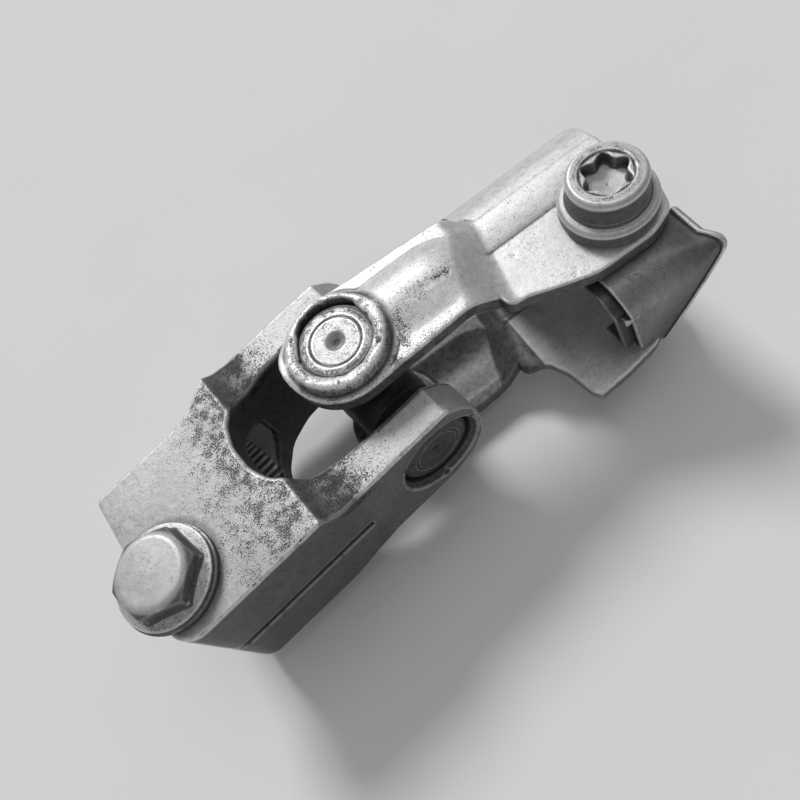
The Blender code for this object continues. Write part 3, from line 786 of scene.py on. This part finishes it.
def pressed_grime(x, y, z):
    """Specks round the collars and along the rib; painted shade in every gap, fold and inner face.
    """
    r, height = np.hypot(x, y), np.abs(z)
    upper = z > 12
    collar_foot = 0.85 * np.exp(-((r - 11.2) / 2.2) ** 2) * smooth(2.0, -7.0, y)
    near_edge = 0.75 * smooth(-7.0, -10.5, y) * smooth(28, 20, x) * upper
    scrape = 0.7 * np.exp(-((y + 1.7) / 1.3) ** 2) * smooth(11, 15, x) * smooth(25, 21, x)
    collar = 0.7 * (r < 9.5) * (r > 6.4)

    # Painted shade in the gaps and groove, on the plates' cut sides, inner faces and in the
    # barrel.
    gap = smooth(7.5, 7.2, r) * (height > 17) * (height < 19.6)
    open_gap = smooth(0.4, 0.8, np.cos(np.arctan2(y, x) - OPEN_LIP)) * smooth(8.1, 7.8, r)
    groove = smooth(8.9, 9.3, r) * smooth(10.6, 9.8, r) * (height > 18.1) * (x - y > -6)
    below = arm_height(x, y) - height
    open_side = y < OPEN_SIDE
    plate_edge = smooth(0.25, 0.55, below) * ((x < 29) | (z > 0)) * open_side
    lower_edge = (outline(x, y, LOWER) > -0.45) * (z < -10.4) * (x > 29) * open_side
    inner = (below > 2.2) * (x < 29)
    socket = np.hypot(y - BARREL_Y, z) < 11.3
    return (np.maximum.reduce([collar_foot, near_edge, scrape * upper, collar]),
            np.maximum.reduce([gap, 0.9 * open_gap * (height > 17), 0.75 * groove,
                               0.95 * plate_edge, 0.8 * lower_edge, inner, 0.8 * socket]))


# Nicks along the arm's near edge, dents over arm and flange, and a scrape along the rib.
nicks = []
for _ in range(34):
    nicks.append((rng.uniform(4, 27), -10.5, 17.9, rng.uniform(0.4, 0.9), rng.uniform(0.08, 0.22)))
for _ in range(46):
    nicks.append((rng.uniform(10, 56), rng.uniform(-14, 4), rng.choice([LEVEL, 18.4]),
                  rng.uniform(0.4, 1.2), rng.uniform(0.03, 0.09)))
for k in range(12):
    nicks.append((12.8 + 0.8 * k, -1.7 + rng.uniform(-0.3, 0.3), 19.2, rng.uniform(0.5, 0.9),
                  rng.uniform(0.08, 0.16)))
solid("pressed_yoke_skin", pressed_yoke, (-12, -26, -21.5), (60.5, 20.5, 21.5), 0.38,
      PRESSED_FRAME, PRESSED_BODY, PRESSED, "pressed_yoke", pressed_grime, nicks)


# clamp bolt and nut --------------------------------------------------------

FACE = LEVEL + 0.3
CLAMP_BOLT = rounded([
    (-1, -19.0), (3.4, -19.0), (SHANK, -18.4), (SHANK, FACE), (7.5, FACE),
    (8.3, FACE + 0.6, 0.3), (8.3, FACE + 2.6, 0.5), (7.7, FACE + 3.3, 0.5),
    (6.75, FACE + 3.7, 0.4), (6.6, FACE + 7.9, 0.6), (6.0, FACE + 8.7, 0.4),
    (4.6, FACE + 8.72, 0.2), (4.3, FACE + 8.4, 0.2), (-1, FACE + 8.4)], 0.3)


def clamp_bolt(x, y, z):
    """Round collared head with a six-lobed socket; the thread shows below the nut."""
    u, v = x - CLAMP_X, y - CLAMP_Y
    r, turn = np.hypot(u, v), np.arctan2(v, u)
    d = outline(r, z, CLAMP_BOLT)
    star = r - 3.55 - 0.5 * np.cos(6 * turn) - 0.25 * np.clip(z - FACE - 7.6, 0, 1)
    floor = FACE + 5.7 - z + 0.12 * r
    d = carve(d, np.maximum(star, floor), 0.2)
    return np.where(z < -LEVEL, np.maximum(d, thread(r, z, turn, SHANK, PITCH)), d)


def clamp_nut(x, y, z):
    """Hexagon nut, chamfered on its free face and countersunk round its hole."""
    u, v = x - CLAMP_X, y - CLAMP_Y
    r, h = np.hypot(u, v), -z
    d = cut_to(hexagon(u, v, HEX, math.pi / 6), np.abs(h - 16.4) - 3.1, 0.2)
    d = cut_to(d, (r - 6.6 + (h - 18.9) * 1.6) * 0.53, 0.2)
    return carve(d, r - 4.1 - np.clip(h - 19.1, 0, 1), 0.15)


def head_grime(x, y, z):
    """Specks round the socket's mouth; painted shade in the socket and on the head's upright
    faces.
    """
    r, h = np.hypot(x - CLAMP_X, y - CLAMP_Y), z - FACE
    dirt = 0.9 * np.exp(-((r - 4.6) / 0.7) ** 2) * (h > 7)
    star = 0.9 * (r < 4.5) * (r > 2.2) * smooth(6.2, 6.5, h) * (h < 8.2)
    barrel = smooth(3.9, 4.3, h) * smooth(7.7, 7.3, h) * (r > 5)
    flange = smooth(2.7, 2.3, h) * (h > 0)
    return dirt, np.maximum(star, 0.95 * np.maximum(barrel, flange))


solid("clamp_bolt_skin", clamp_bolt, (41.2, -15.2, -19.6), (58.8, 2.4, 22.6), 0.2, PRESSED_FRAME,
      PRESSED_BODY, BOLT, "clamp_bolt", head_grime)
solid("clamp_nut_skin", clamp_nut, (41.8, -14.6, -20.2), (58.2, 1.8, -12.8), 0.24, PRESSED_FRAME,
      PRESSED_BODY, NUT, "clamp_nut")


# shaft clip ----------------------------------------------------------------

SHEET = 0.36
CLIP_Y, CLIP_REACH, CLIP_RISE = -11.8, 10.3, 9.3


def clip_bounds(y, z):
    """The clip's two cut edges along x; the outer one steps back on the upper wall."""
    share = np.clip((8.9 - z) / 17.8, 0.0, 1.15)
    back = 0.55 * np.clip(y + 22.0, 0.0, 4.0) * (z > 0)
    return 41.4 + 2.6 * share, 61.8 - 10.2 * share ** 1.2 - back


def clip_shell(x, y, z, inset):
    """Rounded channel wall; its upper corner tightens, and its lower edge drops, outwards."""
    high = 5.8 - 3.2 * smooth(50.0, 60.0, x)
    drop = 9.9 + 1.9 * smooth(46.5, 49.5, x)
    corner = np.where(z > 0, high, 1.9) - inset
    u = np.abs(y - CLIP_Y) - (CLIP_REACH - inset) + corner
    v = np.abs(z) - (np.where(z > 0, CLIP_RISE, drop) - inset) + corner
    return np.hypot(np.maximum(u, 0), np.maximum(v, 0)) + np.minimum(np.maximum(u, v), 0) - corner


def clip_field(x, y, z):
    """Bent sheet with a rolled rim on its outer cut, an inner fold and a small tab."""
    left, right = clip_bounds(y, z)
    skin = np.abs(clip_shell(x, y, z, 0.4)) - SHEET
    stop = y + 11.6 + 2.0 * (z < 0) + 7.3 * (z < -10.1)
    d = cut_to(skin, np.maximum(np.maximum(left - x, (x - right) * 0.88), stop), 0.2)
    rim = np.hypot(clip_shell(x, y, z, 0.0), (x - right + 0.9) * 0.88) - 0.42
    d = join(d, np.maximum(rim, stop), 0.25)
    fold = np.abs(clip_shell(x, y, z, 2.0)) - SHEET
    fold = cut_to(fold, np.maximum(np.maximum(left - 2.2 - x, x - left - 3.4), stop + 1.2), 0.2)
    tab = box_field(x, y, z, (40.9, -22.0, 3.6), (43.6, -19.4, 4.7), 0.2)
    return join(join(d, fold, 0.2), tab, 0.2)


def clip_grime(x, y, z):
    """Painted shade inside, and darker towards the outer cut, whose rim stays unshaded."""
    left, right = clip_bounds(y, z)
    inside = clip_shell(x, y, z, 0.4) < -0.1
    dim = 0.35 + 0.45 * smooth(right - 12, right - 3, x)
    return 0.3, np.where(x > right - 1.3, 0.0, np.maximum(dim, 0.95 * inside))


solid("shaft_clip_skin", clip_field, (37.5, -23.4, -13.2), (63.0, -10.6, 10.4), 0.22,
      PRESSED_FRAME, PRESSED_BODY, CLIP, "shaft_clip", clip_grime)


# floor, light and camera ---------------------------------------------------

def floor_material():
    g = Graph("floor_paper")
    slow = g.noise(0.02, 2.0)
    g.put(g.shader, "Base Color", g.mix(slow, grey(0.72), grey(0.76)))
    g.put(g.shader, "Roughness", 0.85)
    return g.mat


# The floor lies a hair below the joint, so that the two never share a face.
SPAN, GAP = 6.0, 0.0002
mesh = bpy.data.meshes.new("floor")
mesh.from_pydata([(-SPAN, -SPAN, 0), (SPAN, -SPAN, 0), (SPAN, SPAN, 0), (-SPAN, SPAN, 0)], [],
                 [(0, 1, 2, 3)])
mesh.materials.append(floor_material())
floor = bpy.data.objects.new("floor", mesh)
floor.location.z = CAD_BOX[0].z - GAP
bpy.context.scene.collection.objects.link(floor)
floor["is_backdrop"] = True


def aim(name, data, offset):
    """Puts a light at the offset from the joint, facing the joint."""
    obj = bpy.data.objects.new(name, data)
    obj.location = CENTRE + Vector(offset)
    obj.rotation_euler = (-Vector(offset)).to_track_quat("-Z", "Y").to_euler()
    bpy.context.scene.collection.objects.link(obj)


def soft_box(name, offset, size, power):
    data = bpy.data.lights.new(name, "AREA")
    data.shape = "SQUARE"
    data.size = size
    data.energy = power
    aim(name, data, offset)


sun = bpy.data.lights.new("key", "SUN")
sun.energy = 1.95
sun.angle = math.radians(16)
aim("key", sun, (0.04, 0.72, 0.72))
soft_box("top", offset=(0.25, 0.15, 1.15), size=0.80, power=2.2)
soft_box("fill", offset=(-0.9, -0.6, 0.5), size=0.80, power=0.9)

# The sky lights the joint softly and shows paler where the camera sees it.
SKY, FILL, BACKDROP = (0.84, 0.85, 0.87, 1.0), 0.30, 0.85
world = bpy.data.worlds.new("studio")
world.use_nodes = True
tree = world.node_tree
background = tree.nodes["Background"]
background.inputs["Color"].default_value = SKY
seen = tree.nodes.new("ShaderNodeLightPath")
level = tree.nodes.new("ShaderNodeMix")
level.inputs[2].default_value, level.inputs[3].default_value = FILL, BACKDROP
tree.links.new(seen.outputs["Is Camera Ray"], level.inputs[0])
tree.links.new(level.outputs[0], background.inputs["Strength"])
bpy.context.scene.world = world
bpy.context.scene.view_settings.view_transform = "Standard"

view = bpy.data.cameras.new("view")
view.sensor_width = 36.0
view.lens = 31.5
view.clip_start = 0.001
camera = bpy.data.objects.new("view", view)
camera.location = CENTRE + Vector((-0.00735, -0.06807, 0.11401))
camera.rotation_euler = Euler([math.radians(a) for a in (23.93, 16.67, -41.06)])
bpy.context.scene.collection.objects.link(camera)
bpy.context.scene.camera = camera

low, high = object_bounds()
